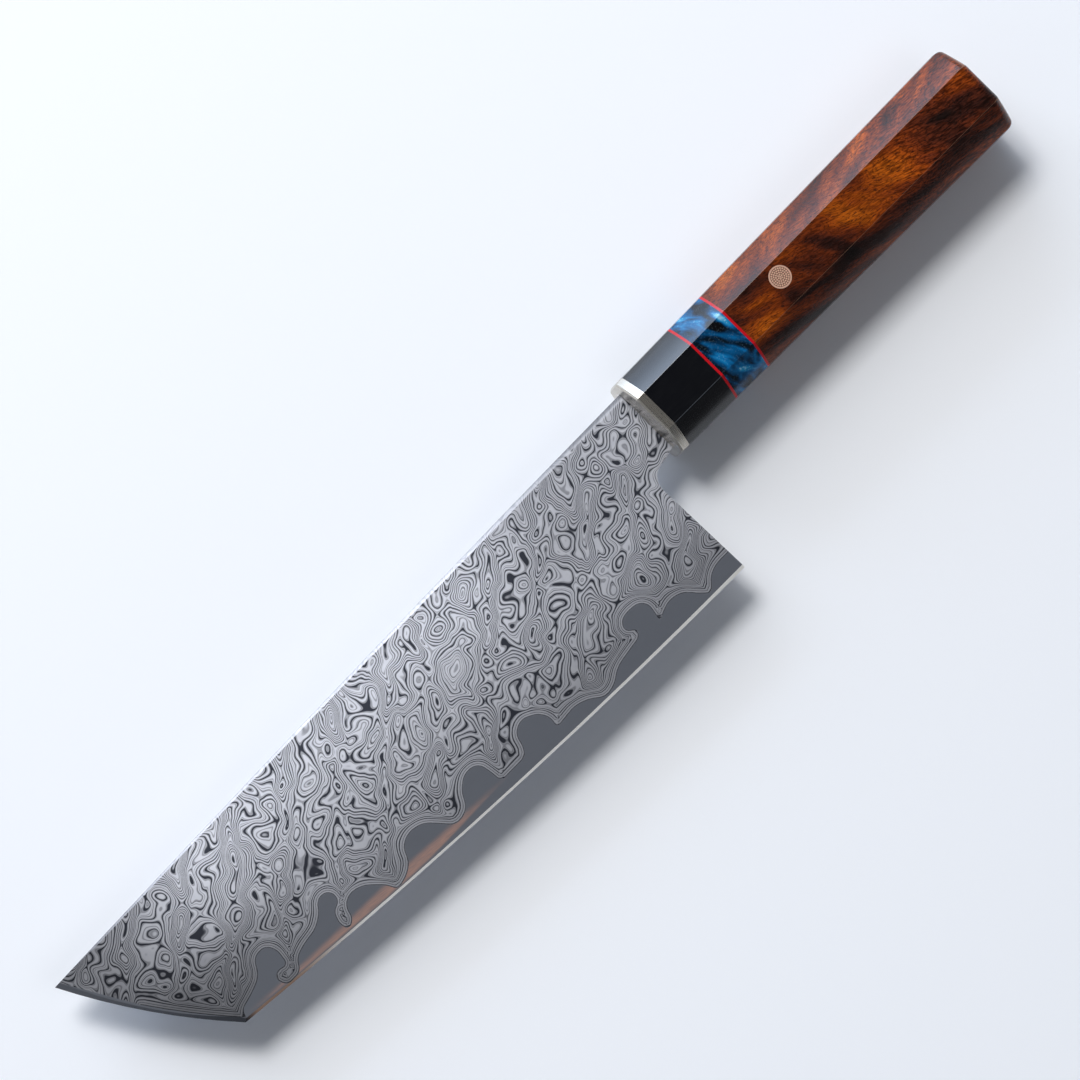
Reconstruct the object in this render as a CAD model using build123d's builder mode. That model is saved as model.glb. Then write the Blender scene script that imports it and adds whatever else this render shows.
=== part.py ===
from build123d import *
from math import radians, tan
import os

os.makedirs("parts", exist_ok=True)

# A kiritsuke kitchen knife lying on its side, in millimetres.
# The tip points to -X, the butt to +X, the cutting edge to -Y and the spine to +Y.
# The origin is under the middle of the knife, on the surface it lies on.

# Blade outline. A reach is measured ahead of the bolster's front face.
# A rise or a drop is measured from the handle's axis, towards the spine or the edge.
blade_reach = 205.9
tip_rise = 5.5
spine_rise = 9.45
spine_bow = 0.6
neck_drop = 9.45
choil_reach = 9.6
choil_drop = 11.25
choil_radius = 4.8
heel_reach = 8.7
heel_drop = 43.6
k_reach = 179.0
k_drop = 34.0
edge_bow = 2.05
tip_edge_bow = 1.6

# Blade thickness over both sides, before the tip facet and the bevels.
spine_thickness = 2.2
spine_tip_thickness = 1.6
heel_thickness = 0.44

# Tip facet: how far back along the spine it starts.
tip_facet_reach = 15.0
tip_edge_thickness = 0.4

# Sharpened bevels, and the land they leave at the very edge.
edge_land = 0.08
edge_bevel_width = 0.75
edge_bevel_depth = 0.16
tip_bevel_width = 1.05
tip_bevel_depth = 0.16

# Eased spine, and the land left along it.
spine_land = 0.9
spine_ease_width = 1.6
spine_ease_depth = 0.65

# Layers: the core's share of the thickness, and where the cladding ends along the tip edge.
core_share = 0.33
tip_line_inset = 1.15

# Where the cladding ends above the cutting edge: a share of the way from heel to tip corner,
# then a share of the height from the edge to the handle's axis.
weld_line_shares = [
    (0.003, 0.128),
    (0.026, 0.128),
    (0.044, 0.106),
    (0.063, 0.027),
    (0.076, 0.070),
    (0.093, 0.150),
    (0.115, 0.172),
    (0.134, 0.149),
    (0.149, 0.118),
    (0.146, 0.181),
    (0.143, 0.239),
    (0.152, 0.285),
    (0.171, 0.295),
    (0.188, 0.282),
    (0.196, 0.228),
    (0.180, 0.183),
    (0.188, 0.140),
    (0.213, 0.124),
    (0.243, 0.102),
    (0.264, 0.039),
    (0.288, 0.024),
    (0.305, 0.083),
    (0.329, 0.112),
    (0.348, 0.103),
    (0.371, 0.089),
    (0.367, 0.162),
    (0.375, 0.227),
    (0.399, 0.276),
    (0.420, 0.235),
    (0.425, 0.148),
    (0.434, 0.095),
    (0.460, 0.090),
    (0.486, 0.085),
    (0.487, 0.165),
    (0.492, 0.262),
    (0.515, 0.273),
    (0.536, 0.210),
    (0.547, 0.118),
    (0.563, 0.080),
    (0.580, 0.081),
    (0.596, 0.157),
    (0.610, 0.219),
    (0.634, 0.242),
    (0.656, 0.198),
    (0.664, 0.104),
    (0.681, 0.048),
    (0.706, 0.014),
    (0.713, 0.084),
    (0.738, 0.186),
    (0.760, 0.204),
    (0.777, 0.159),
    (0.782, 0.067),
    (0.798, 0.026),
    (0.803, 0.097),
    (0.796, 0.190),
    (0.778, 0.222),
    (0.779, 0.310),
    (0.799, 0.321),
    (0.812, 0.239),
    (0.832, 0.176),
    (0.859, 0.153),
    (0.881, 0.111),
    (0.891, 0.026),
    (0.920, 0.011),
    (0.925, 0.105),
    (0.913, 0.140),
    (0.898, 0.124),
    (0.894, 0.251),
    (0.903, 0.321),
    (0.925, 0.311),
    (0.938, 0.190),
    (0.965, 0.128),
    (0.990, 0.087),
]

# How much of its shorter run each bend of that line takes.
weld_bend_share = 0.48

# Tang, hidden in the handle.
tang_length = 56.0
tang_height = 11.0
tang_thickness = 1.6
tang_end_radius = 2.0

# Handle, measured back from the bolster's front face.
# Its broad flats are planed down by the skim.
handle_length = 122.8
front_width = 24.1
butt_width = 27.25
front_thickness = 21.0
butt_thickness = 23.7
flat_share = 0.447
facet_share = 0.474
crown = 0.22
flat_skim = 0.02
ridge_radius = 0.45
butt_radius = 2.4
bolster_length = 2.65
bolster_chamfer = 0.45
ferrule_length = 16.95
liner_thickness = 0.7
ring_length = 11.0

# Dowel: its slot takes the tang with glue all round, and ends before the dowel does.
dowel_diameter = 14.0
dowel_fit = 0.05
dowel_end_wall = 3.35
bore_end_gap = 0.3
tang_fit = 0.15
tang_end_gap = 0.8

# Mosaic pin through grip, dowel and tang: a tube packed with rings of rods in resin.
# It stands ahead of the tang's end.
pin_end_margin = 7.4
pin_rise = 1.5
pin_diameter = 6.0
pin_wall = 0.4
pin_fit = 0.03
rod_rings = 4
rod_gap = 0.1
rod_wall_gap = 0.13

# How far cutting shapes run past the part.
overrun = 4.0

# Places that follow from the sizes.
butt_x = (blade_reach + handle_length) / 2
bolster_x = butt_x - handle_length
axis_y = (heel_drop - butt_width / 2) / 2
mid_z = butt_thickness / 2
ferrule_x = bolster_x + bolster_length
front_liner_x = ferrule_x + ferrule_length
ring_x = front_liner_x + liner_thickness
rear_liner_x = ring_x + ring_length
grip_x = rear_liner_x + liner_thickness
slot_end_x = bolster_x + tang_length + tang_end_gap
dowel_end_x = slot_end_x + dowel_end_wall
pin_x = bolster_x + tang_length - pin_end_margin

# Sizes that follow from what fits in them.
bore_diameter = dowel_diameter + 2 * dowel_fit
slot_height = tang_height + 2 * tang_fit
slot_width = tang_thickness + 2 * tang_fit
tang_hole_diameter = pin_diameter + 2 * tang_fit
pin_hole_diameter = pin_diameter + 2 * pin_fit
pin_bore = pin_diameter - 2 * pin_wall
rod_pitch = (pin_bore / 2 - rod_wall_gap + rod_gap / 2) / (rod_rings + 1 / 2)
rod_diameter = rod_pitch - rod_gap

# Blade corners on the knife's middle plane, from the bolster's front face.
blade_plane = Plane(origin=(bolster_x, axis_y, mid_z))
pin_plane = Plane(origin=(pin_x, axis_y + pin_rise, mid_z))
spine_end = (0, spine_rise)
neck_end = (0, -neck_drop)
choil_corner = (-choil_reach, -choil_drop)
heel = (-heel_reach, -heel_drop)
k_corner = (-k_reach, -k_drop)
tip = (-blade_reach, tip_rise)


def across(x):
    """The plane square to the handle's axis at x, with its own x towards the spine."""
    return Plane(origin=(x, axis_y, mid_z), x_dir=(0, 1, 0), z_dir=(1, 0, 0))


def taper(x, front_size, butt_size):
    """A size of the handle at x, between its front and its butt."""
    return front_size + (butt_size - front_size) * (x - bolster_x) / handle_length


def handle_section(x, inset=0):
    """The handle's octagon at x: two flat sides, and six with a slight crown."""
    half_width = taper(x, front_width, butt_width) / 2 - inset
    half_thickness = taper(x, front_thickness, butt_thickness) / 2 + flat_skim - inset
    flat = half_width * flat_share
    facet = half_thickness * facet_share
    side = half_width - crown
    corners = [
        (flat, half_thickness),
        (side, facet),
        (side, -facet),
        (flat, -half_thickness),
        (-flat, -half_thickness),
        (-side, -facet),
        (-side, facet),
        (-flat, half_thickness),
    ]
    with BuildSketch(across(x)) as section:
        with BuildLine():
            for start, end in zip(corners, corners[1:] + corners[:1]):
                if start[1] == end[1]:
                    Line(start, end)
                else:
                    SagittaArc(start, end, crown)
        make_face()
        fillet(section.vertices(), ridge_radius)
    return section.sketch


def flat_plane(side):
    """The handle's broad flat face on one side."""
    front = Vector(bolster_x, axis_y, mid_z + side * front_thickness / 2)
    butt = Vector(butt_x, axis_y, mid_z + side * butt_thickness / 2)
    outward = (butt - front).cross(Vector(0, 1, 0)) * side
    return Plane(origin=front, x_dir=butt - front, z_dir=outward)


def blade_point(x, y, z=0):
    """A point of the blade in the knife's frame."""
    return blade_plane.from_local_coords(Vector(x, y, z))


def side_plane(share, side):
    """The ground face of one side, or a layer under it at a share of its depth."""
    spine_point = blade_point(*spine_end, side * share * spine_thickness / 2)
    tip_point = blade_point(*tip, side * share * spine_tip_thickness / 2)
    heel_point = blade_point(*heel, side * share * heel_thickness / 2)
    outward = (tip_point - spine_point).cross(heel_point - spine_point) * side
    return Plane(origin=spine_point, x_dir=spine_point - tip_point, z_dir=outward)


def depth_at(plane, x, y):
    """How far a plane lies from the blade's middle at a point of the outline."""
    offset = blade_point(x, y) - plane.origin
    return -offset.dot(plane.z_dir) / plane.z_dir.Z


def tip_plane(side):
    """The facet that thins the tip: it leaves the ground face on a line from the tip corner."""
    ground = side_plane(1, side)
    spine_x = tip[0] + tip_facet_reach
    k_point = blade_point(*k_corner, depth_at(ground, *k_corner))
    spine_point = blade_point(spine_x, tip_rise, depth_at(ground, spine_x, tip_rise))
    tip_point = blade_point(*tip, side * tip_edge_thickness / 2)
    outward = (k_point - tip_point).cross(spine_point - tip_point) * side
    return Plane(origin=k_point, x_dir=k_point - tip_point, z_dir=outward)


def edge_rise(reach_share):
    """The cutting edge's height at a share of the way from the heel to the tip corner."""
    chord = -heel_drop + (heel_drop - k_drop) * reach_share
    return chord - 4 * edge_bow * reach_share * (1 - reach_share)


def weld_point(reach_share, lift_share):
    """A point of the line where the cladding ends."""
    reach = heel_reach + (k_reach - heel_reach) * reach_share
    return Vector(-reach, edge_rise(reach_share) * (1 - lift_share))


def bend_radius(before, corner, after):
    """The radius of a bend that takes its share of the shorter run beside it."""
    run_in = corner - before
    run_out = after - corner
    half_turn = radians(run_in.get_angle(run_out) / 2)
    return weld_bend_share * min(run_in.length, run_out.length) / tan(half_turn)


def edge_plane(edge):
    """The plane square to an outline edge at its start: its own x runs into the blade."""
    along = edge % 0
    inward = Vector(along.Y, -along.X, 0)
    return Plane(origin=edge @ 0, x_dir=inward, z_dir=inward.cross(Vector(0, 0, 1)))


# The three curved edges of the blade.
with BuildLine(blade_plane) as cutting_edge:
    SagittaArc(heel, k_corner, edge_bow)
with BuildLine(blade_plane) as tip_edge:
    SagittaArc(k_corner, tip, tip_edge_bow)
with BuildLine(blade_plane) as spine_edge:
    SagittaArc(tip, spine_end, spine_bow)

# The whole blade with its tang, before it is split into layers.
with BuildPart() as blade_form:
    with BuildSketch(blade_plane) as outline:
        with BuildLine():
            SagittaArc(heel, k_corner, edge_bow)
            SagittaArc(k_corner, tip, tip_edge_bow)
            SagittaArc(tip, spine_end, spine_bow)
            Line(spine_end, neck_end)
            FilletPolyline(neck_end, choil_corner, heel, radius=choil_radius)
        make_face()
        with BuildLine():
            Polyline(
                (0, -tang_height / 2),
                (0, tang_height / 2),
                (tang_length, tang_height / 2),
                (tang_length, -tang_height / 2),
                close=True,
            )
        make_face()
        fillet(outline.vertices().group_by(Axis.X)[-1], tang_end_radius)
    extrude(amount=spine_thickness, both=True)
    for side in (1, -1):
        split(bisect_by=side_plane(1, side), keep=Keep.BOTTOM)
        split(bisect_by=tip_plane(side), keep=Keep.BOTTOM)
    for edge, width, depth in (
        (cutting_edge, edge_bevel_width, edge_bevel_depth),
        (tip_edge, tip_bevel_width, tip_bevel_depth),
    ):
        slope = depth / width
        reach = spine_thickness / slope
        with BuildSketch(edge_plane(edge.edge())):
            with BuildLine():
                Polyline(
                    (-overrun, edge_land / 2),
                    (0, edge_land / 2),
                    (reach, edge_land / 2 + spine_thickness),
                    (-overrun, edge_land / 2 + spine_thickness),
                    close=True,
                )
            make_face()
            mirror(about=Plane.XZ)
        sweep(path=edge.edge(), mode=Mode.SUBTRACT)
    with BuildSketch(edge_plane(spine_edge.edge())):
        with BuildLine():
            Line((-overrun, spine_land / 2), (0, spine_land / 2))
            TangentArc(
                (spine_ease_width, spine_land / 2 + spine_ease_depth),
                (0, spine_land / 2),
                tangent=(-1, 0),
            )
            Polyline(
                (spine_ease_width, spine_land / 2 + spine_ease_depth),
                (spine_ease_width, spine_thickness),
                (-overrun, spine_thickness),
                (-overrun, spine_land / 2),
            )
        make_face()
        mirror(about=Plane.XZ)
    sweep(path=spine_edge.edge(), mode=Mode.SUBTRACT)
    for side in (1, -1):
        with BuildSketch(blade_plane.offset(side * tang_thickness / 2)):
            with Locations(((tang_length + overrun) / 2, 0)):
                Rectangle(tang_length + overrun, tang_height + overrun)
        extrude(amount=side * spine_thickness, mode=Mode.SUBTRACT)
    with BuildSketch(pin_plane):
        Circle(tang_hole_diameter / 2)
    extrude(amount=spine_thickness, both=True, mode=Mode.SUBTRACT)

# The area that the cladding covers, seen from above.
inward = (Vector(*tip) - Vector(*k_corner)).normalized().rotate(Axis.Z, -90) * tip_line_inset
tip_line_start = Vector(*k_corner) + inward
tip_line_end = Vector(*tip) + inward
weld_points = [weld_point(*shares) for shares in weld_line_shares]
beyond_choil = Vector(-heel_reach + overrun, weld_points[0].Y)
beyond_tang = Vector(tang_length + overrun, weld_points[0].Y)
beyond_spine = spine_rise + overrun
weld_line = [beyond_choil, *weld_points, tip_line_start]
weld_radii = list(map(bend_radius, weld_line, weld_line[1:], weld_line[2:]))
with BuildSketch(blade_plane) as cladding_area:
    with BuildLine():
        FilletPolyline(*weld_line, radius=weld_radii)
        SagittaArc(tip_line_start, tip_line_end, tip_edge_bow)
        Polyline(
            tip_line_end,
            (tip_line_end.X, beyond_spine),
            (beyond_tang.X, beyond_spine),
            beyond_tang,
            beyond_choil,
        )
    make_face()

with BuildPart() as cladding_left:
    add(blade_form.part)
    extrude(cladding_area.sketch, amount=spine_thickness, both=True, mode=Mode.INTERSECT)
    split(bisect_by=side_plane(core_share, 1), keep=Keep.TOP)
cladding_left.part.label = "cladding_left"
export_step(cladding_left.part, "parts/cladding_left.step")

with BuildPart() as cladding_right:
    add(blade_form.part)
    extrude(cladding_area.sketch, amount=spine_thickness, both=True, mode=Mode.INTERSECT)
    split(bisect_by=side_plane(core_share, -1), keep=Keep.TOP)
cladding_right.part.label = "cladding_right"
export_step(cladding_right.part, "parts/cladding_right.step")

with BuildPart() as blade_core:
    add(blade_form.part)
    add(cladding_left.part, mode=Mode.SUBTRACT)
    add(cladding_right.part, mode=Mode.SUBTRACT)
blade_core.part.label = "blade_core"
export_step(blade_core.part, "parts/blade_core.step")

# The bolster, a thin cap with the tang's slot right through it.
with BuildPart() as bolster:
    front_face = handle_section(bolster_x, bolster_chamfer)
    full_section = handle_section(bolster_x + bolster_chamfer)
    loft(sections=[front_face, full_section, handle_section(ferrule_x)], ruled=True)
    for side in (1, -1):
        split(bisect_by=flat_plane(side), keep=Keep.BOTTOM)
    with BuildSketch(across(bolster_x)):
        Rectangle(slot_height, slot_width)
    extrude(amount=bolster_length, mode=Mode.SUBTRACT)
bolster.part.label = "bolster"
export_step(bolster.part, "parts/bolster.step")

# The layers glued between the bolster and the grip, each with the dowel's bore.
for name, front_x, rear_x in (
    ("ferrule", ferrule_x, front_liner_x),
    ("liner_front", front_liner_x, ring_x),
    ("resin_ring", ring_x, rear_liner_x),
    ("liner_rear", rear_liner_x, grip_x),
):
    with BuildPart() as layer:
        loft(sections=[handle_section(front_x), handle_section(rear_x)], ruled=True)
        for side in (1, -1):
            split(bisect_by=flat_plane(side), keep=Keep.BOTTOM)
        with BuildSketch(across(front_x)):
            Circle(bore_diameter / 2)
        extrude(amount=rear_x - front_x, mode=Mode.SUBTRACT)
    layer.part.label = name
    export_step(layer.part, f"parts/{name}.step")

# The wooden grip, with a blind bore for the dowel and the pin's hole.
with BuildPart() as grip:
    loft(sections=[handle_section(grip_x), handle_section(butt_x)], ruled=True)
    fillet(grip.faces().sort_by(Axis.X)[-1].edges(), butt_radius)
    for side in (1, -1):
        split(bisect_by=flat_plane(side), keep=Keep.BOTTOM)
    with BuildSketch(across(grip_x)):
        Circle(bore_diameter / 2)
    extrude(amount=dowel_end_x + bore_end_gap - grip_x, mode=Mode.SUBTRACT)
    with BuildSketch(pin_plane):
        Circle(pin_hole_diameter / 2)
    extrude(amount=butt_thickness, both=True, mode=Mode.SUBTRACT)
grip.part.label = "grip"
export_step(grip.part, "parts/grip.step")

# The dowel that lines the handle up and holds the tang.
with BuildPart() as handle_dowel:
    with BuildSketch(across(ferrule_x)):
        Circle(dowel_diameter / 2)
    extrude(amount=dowel_end_x - ferrule_x)
    with BuildSketch(across(ferrule_x)):
        Rectangle(slot_height, slot_width)
    extrude(amount=slot_end_x - ferrule_x, mode=Mode.SUBTRACT)
    with BuildSketch(pin_plane):
        Circle(pin_hole_diameter / 2)
    extrude(amount=dowel_diameter, both=True, mode=Mode.SUBTRACT)
handle_dowel.part.label = "handle_dowel"
export_step(handle_dowel.part, "parts/handle_dowel.step")

# The glue that fills the slot round the tang.
with BuildPart() as tang_epoxy:
    with BuildSketch(across(bolster_x)):
        Rectangle(slot_height, slot_width)
    extrude(amount=slot_end_x - bolster_x)
    add(blade_form.part, mode=Mode.SUBTRACT)
    with BuildSketch(pin_plane):
        Circle(pin_hole_diameter / 2)
    extrude(amount=slot_width, both=True, mode=Mode.SUBTRACT)
tang_epoxy.part.label = "tang_epoxy"
export_step(tang_epoxy.part, "parts/tang_epoxy.step")

# The places of the pin's rods: one in the middle, then rings of six, twelve and so on.
with BuildSketch(pin_plane) as rod_area:
    Circle(rod_diameter / 2)
    for ring in range(1, rod_rings + 1):
        with PolarLocations(ring * rod_pitch, 6 * ring):
            Circle(rod_diameter / 2)

# The pin's three pieces, cut flush with both broad flats of the handle.
with BuildPart() as mosaic_pin_tube:
    with BuildSketch(pin_plane):
        Circle(pin_diameter / 2)
        Circle(pin_bore / 2, mode=Mode.SUBTRACT)
    extrude(amount=butt_thickness, both=True)
    for side in (1, -1):
        split(bisect_by=flat_plane(side), keep=Keep.BOTTOM)
mosaic_pin_tube.part.label = "mosaic_pin_tube"
export_step(mosaic_pin_tube.part, "parts/mosaic_pin_tube.step")

with BuildPart() as mosaic_pin_rods:
    extrude(rod_area.sketch, amount=butt_thickness, both=True)
    for side in (1, -1):
        split(bisect_by=flat_plane(side), keep=Keep.BOTTOM)
mosaic_pin_rods.part.label = "mosaic_pin_rods"
export_step(mosaic_pin_rods.part, "parts/mosaic_pin_rods.step")

with BuildPart() as mosaic_pin_filler:
    with BuildSketch(pin_plane):
        Circle(pin_bore / 2)
        add(rod_area.sketch_local, mode=Mode.SUBTRACT)
    extrude(amount=butt_thickness, both=True)
    for side in (1, -1):
        split(bisect_by=flat_plane(side), keep=Keep.BOTTOM)
mosaic_pin_filler.part.label = "mosaic_pin_filler"
export_step(mosaic_pin_filler.part, "parts/mosaic_pin_filler.step")
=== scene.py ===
# Kiritsuke kitchen knife lying on its side: its finishes, with floor, lamps and camera.
import math
import bpy
from mathutils import Matrix, Vector
from mathutils.bvhtree import BVHTree
from mathutils.kdtree import KDTree


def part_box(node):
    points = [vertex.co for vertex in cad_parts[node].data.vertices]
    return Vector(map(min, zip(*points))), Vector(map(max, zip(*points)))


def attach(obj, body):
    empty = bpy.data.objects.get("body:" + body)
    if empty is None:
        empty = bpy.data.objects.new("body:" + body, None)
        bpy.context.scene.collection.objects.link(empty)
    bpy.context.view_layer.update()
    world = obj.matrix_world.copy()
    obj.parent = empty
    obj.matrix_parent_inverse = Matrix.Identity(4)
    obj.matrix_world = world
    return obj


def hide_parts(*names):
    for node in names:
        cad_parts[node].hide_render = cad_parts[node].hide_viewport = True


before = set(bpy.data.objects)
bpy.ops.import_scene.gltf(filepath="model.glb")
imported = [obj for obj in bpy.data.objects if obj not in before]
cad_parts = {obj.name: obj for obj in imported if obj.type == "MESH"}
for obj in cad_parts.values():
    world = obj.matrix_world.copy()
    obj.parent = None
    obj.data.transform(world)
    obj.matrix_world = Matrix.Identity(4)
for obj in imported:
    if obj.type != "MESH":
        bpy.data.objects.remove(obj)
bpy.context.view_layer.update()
bpy.ops.object.select_all(action="DESELECT")
mm = 0.001
inMillimetres = (1 / mm, 1 / mm, 1 / mm)    # scales a place in metres


def hexColour(code):
    channels = [int(code[i:i + 2], 16) / 255 for i in (0, 2, 4)]
    linear = [c / 12.92 if c <= 0.04045 else ((c + 0.055) / 1.055) ** 2.4 for c in channels]
    return (*linear, 1)


smooth = {"interpolation_type": "SMOOTHSTEP"}


def addNode(tree, kind, settings=None, links=None, output=0):
    # Adds one node and gives back one of its outputs. Stops are a ramp's places and colours.
    node = tree.nodes.new("ShaderNode" + kind)
    for name, value in (settings or {}).items():
        if name == "stops":
            elements = node.color_ramp.elements
            while len(elements) < len(value):
                elements.new(1)
            for element, (place, code) in zip(elements, value):
                element.position = place
                element.color = hexColour(code)
        elif isinstance(name, int) or name in node.inputs:
            node.inputs[name].default_value = value
        else:
            setattr(node, name, value)
    for name, source in (links or {}).items():
        tree.links.new(source, node.inputs[name])
    return node.outputs[output]


def startMaterial(name, shaderSettings):
    material = bpy.data.materials.new(name)
    material.use_nodes = True
    tree = material.node_tree
    shader = tree.nodes["Principled BSDF"]
    for socket, value in shaderSettings.items():
        shader.inputs[socket].default_value = value
    return material, tree, shader


def turned(*degrees):
    return tuple(math.radians(a) for a in degrees)


def millimetres(*sizes):
    return tuple(size * mm for size in sizes)


def dress(material, *nodeNames):
    for name in nodeNames:
        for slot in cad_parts[name].material_slots:
            slot.material = material
    print("finish", material.name, "on", ", ".join(nodeNames))


# Camera: the photograph's viewing angle.
camera = {
    "place": (-289.66, 14.99, 1471.85),
    "lookAt": (0.79, 12.93, 11.85),
    "roll": 45.366,
    "lens": 197.61,
}
bpy.ops.object.camera_add()
eye = bpy.context.object
eye.name = "camera"
eye.data.lens = camera["lens"]
eye.data.sensor_width = 36
eye.data.clip_end = 20
place = Vector(camera["place"]) * mm
ahead = (Vector(camera["lookAt"]) * mm - place).normalized()
level = (Vector((1, 0, 0)) - ahead * ahead.x).normalized()
upright = ahead.cross(level)
roll = math.radians(camera["roll"])
right = level * math.cos(roll) + upright * math.sin(roll)
down = upright * math.cos(roll) - level * math.sin(roll)
eye.matrix_world = Matrix.Translation(place) @ Matrix((right, -down, -ahead)).transposed().to_4x4()
bpy.context.scene.camera = eye
bpy.context.scene.view_settings.view_transform = "Standard"
print("camera set")

# Floor: pale matt card that keeps the knife's shadow.
floor = {"size": 3.2, "colour": "F6F9FE"}
bpy.ops.mesh.primitive_plane_add(size=floor["size"], location=(0, 0, 0))
card = bpy.context.object
card.name = "floor"
material, tree, shader = startMaterial("matt_white_card", {"Roughness": 0.9, "Specular IOR Level": 0.1})
shader.inputs["Base Color"].default_value = hexColour(floor["colour"])
card.data.materials.append(material)

# Lamps: a soft key from the spine's side, a wider softbox under it and a low window behind.
lamps = {
    "key": {"place": (0.0, 1.45, 1.91), "size": (0.7, 0.7), "power": 30, "colour": "FFFDFA"},
    "softbox": {"place": (0.0, 1.84, 1.54), "size": (1.8, 1.5), "power": 25, "colour": "FCFDFF"},
    "window": {"place": (0.2, 2.25, 0.56), "size": (2.6, 1.1), "power": 22, "colour": "CBE0FC"},
    "fill": {"place": (0.15, -0.78, 1.6), "size": (0.9, 0.8), "power": 2.7, "colour": "F8FAFF"},
}
for name, lamp in lamps.items():
    bpy.ops.object.light_add(type="AREA", location=lamp["place"])
    light = bpy.context.object
    light.name = name + "_lamp"
    light.data.shape = "RECTANGLE"
    light.data.size, light.data.size_y = lamp["size"]
    light.data.energy = lamp["power"]
    light.data.color = hexColour(lamp["colour"])[:3]
    light.rotation_euler = (-Vector(lamp["place"])).to_track_quat("-Z", "Y").to_euler()
# The window is brighter towards its top.
pane = bpy.data.objects["window_lamp"].data
pane.use_nodes = True
tree = pane.node_tree
across = addNode(tree, "NewGeometry", output="Parametric")
up = addNode(tree, "SeparateXYZ", links={0: across}, output="Y")
strength = addNode(tree, "MapRange", smooth | {"To Min": 0.55, "To Max": 1.9}, {"Value": up})
tree.links.new(strength, tree.nodes["Emission"].inputs["Strength"])

# World: white low on the horizon, dim higher up and overhead, brighter on the lamps' side.
studio = {"overhead": 0.05, "horizon": 0.42, "colour": "E6EAF2"}
world = bpy.data.worlds.new("studio")
bpy.context.scene.world = world
world.use_nodes = True
tree = world.node_tree
ray = addNode(tree, "TexCoord", output="Generated")
rayUp = addNode(tree, "SeparateXYZ", links={0: ray}, output="Z")
rayAcross = addNode(tree, "SeparateXYZ", links={0: ray}, output="Y")
climb = addNode(tree, "MapRange", smooth | {
    "From Min": 0.45, "From Max": 0.95, "To Min": studio["horizon"], "To Max": studio["overhead"],
}, {"Value": rayUp})
side = addNode(tree, "Math", {"operation": "MULTIPLY_ADD", 1: 0.62, 2: 0.78}, {0: rayAcross})
dim = addNode(tree, "Math", {"operation": "MULTIPLY"}, {0: climb, 1: side})
strength = addNode(tree, "MapRange", smooth | {
    "From Min": 0.03, "From Max": 0.1, "To Min": 0.95,
}, {"Value": rayUp, "To Max": dim})
tree.links.new(strength, tree.nodes["Background"].inputs["Strength"])
tree.nodes["Background"].inputs["Color"].default_value = hexColour(studio["colour"])
print("floor, lamps and world set")

# Cladding: folded steel, ground, polished and etched. The acid darkens one steel and leaves the
# other bright, so the layers show as contour lines round every bump in the billet.
damascus = {
    "grid": 1.25,              # mm between the cuts that the weld distance is stored on
    "turn": 44.6,              # degrees from the knife's axis to the billet's columns
    "bumpSize": 10.0,          # mm, one cell of the billet's bumps
    "columnWidth": 13.0,       # mm between the seams of the columns
    "seamWidth": 3.2,
    "seamHeight": 0.16,
    "layers": 26.0,            # contour lines for one unit of height
    "fineLines": 2.0,          # fainter lines to each of those
    "bottomLayer": -8.0,
    "weldEnd": 36.0,           # mm, behind the heel there is no weld to see
    "weldSpacing": 0.62,       # mm between the lines that run along the weld
    "weldReach": 5.5,          # mm from the weld to where they have given way to the bumps
    "darkShare": (0.17, 0.46),  # least and most of a layer pair that is dark
    "fineDepth": 0.48,         # how dark the fainter lines are
    "paintedEdgeShade": (16, -20, 0.42),  # mm where a painted shade starts and where it is full, and its tone
    "paintedTipShade": (-112, -160, 0.36),
    "paintedHeelShade": (-28, 8, 0.72),
    "paintedLowTipShade": (-88, -125, 0.7),
    "paintedRimShade": 0.62,          # painted shade on the eased spine, and what it falls to at the neck
    "paintedNeckRimShade": 0.5,
    "bright": "F6F7FD",
    "cloud": "DEE0E9",
    "dark": "4A4D57",
}


def gridCuts(low, high, step):
    return [low + step * (i + 0.5) for i in range(int((high - low) / step))]


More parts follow.
